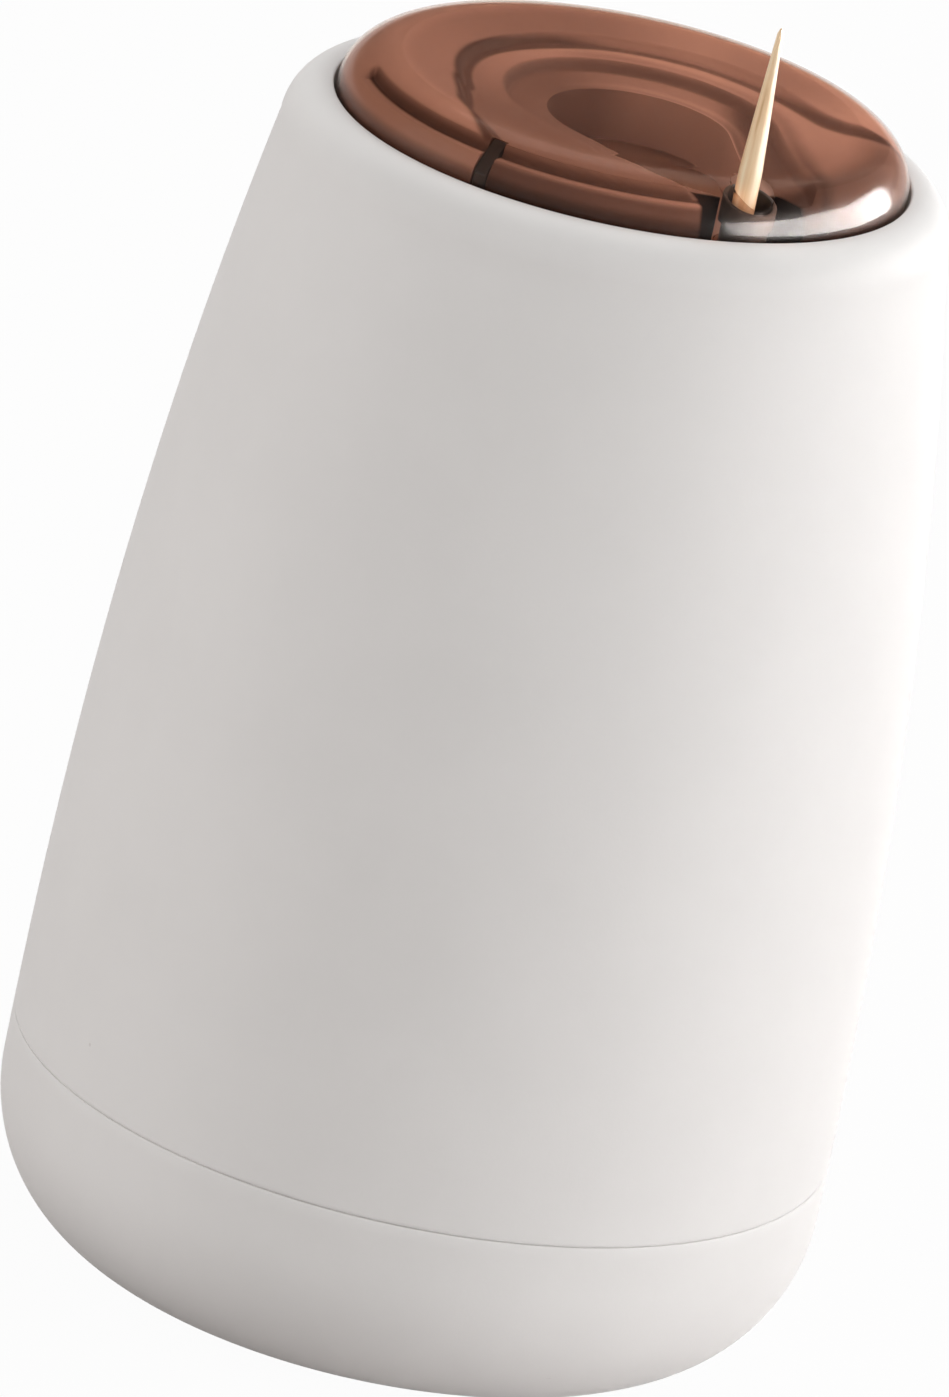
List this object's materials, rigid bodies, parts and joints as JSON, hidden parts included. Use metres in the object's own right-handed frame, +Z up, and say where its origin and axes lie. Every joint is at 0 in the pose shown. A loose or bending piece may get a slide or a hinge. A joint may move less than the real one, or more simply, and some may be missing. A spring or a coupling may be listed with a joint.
{
  "type": "toothpick holder",
  "caption": "Press-to-pop toothpick holder: tapered white body, sprung see-through brown lid with an outlet hole, comma-shaped chamber and a fixed ejector pin.",
  "frame": {"origin": "on the table, under the middle of the round body", "axes": "+Z up along the body's axis, -Y to the front, +X to the right; the outlet hole is front right"},
  "size_m": [0.068, 0.068, 0.1168],
  "materials": {
    "shell_white": "fine matte",
    "base_white": "fine matte",
    "foot_rubber": "matte",
    "screw_steel": "satin",
    "sleeve_plastic": "satin",
    "soft_black": "matte",
    "spring_steel": "drawn wire",
    "barrel_brown": "glossy",
    "insert_brown": "glossy",
    "lid_clear_brown": "clear, glossy",
    "bamboo": "fine straight grain"
  },
  "bodies": {
    "case": {"body_shell": "shell_white", "base_cap": "base_white", "foot_ring": "foot_rubber", "base_screws": "screw_steel", "guide_sleeve": "sleeve_plastic", "stop_ring": "soft_black", "spring_seat": "screw_steel", "return_spring": "spring_steel", "ejector_pin": "screw_steel"},
    "barrel": {"toothpick_barrel": "barrel_brown", "barrel_floor": "barrel_brown", "guide_plate": "insert_brown", "lid_catch": "soft_black"},
    "lid": {"press_lid": "lid_clear_brown", "outlet_bush": "soft_black"},
    "pick": {"toothpick": "bamboo"}
  },
  "joints": [
    {"name": "press", "type": "slide", "parent": "case", "child": "barrel", "axis": [0, 0, -1], "range_m": [0, 0.016], "stiffness_N_per_m": 200, "springref_m": -0.0075, "deforming": ["return_spring"]},
    {"name": "lid_lift", "type": "slide", "parent": "barrel", "child": "lid", "axis": [0, 0, 1], "range_m": [0, 0.03]},
    {"name": "pick_pull", "type": "slide", "parent": "lid", "child": "pick", "axis": [0, 0, 1], "range_m": [0, 0.048]}
  ]
}
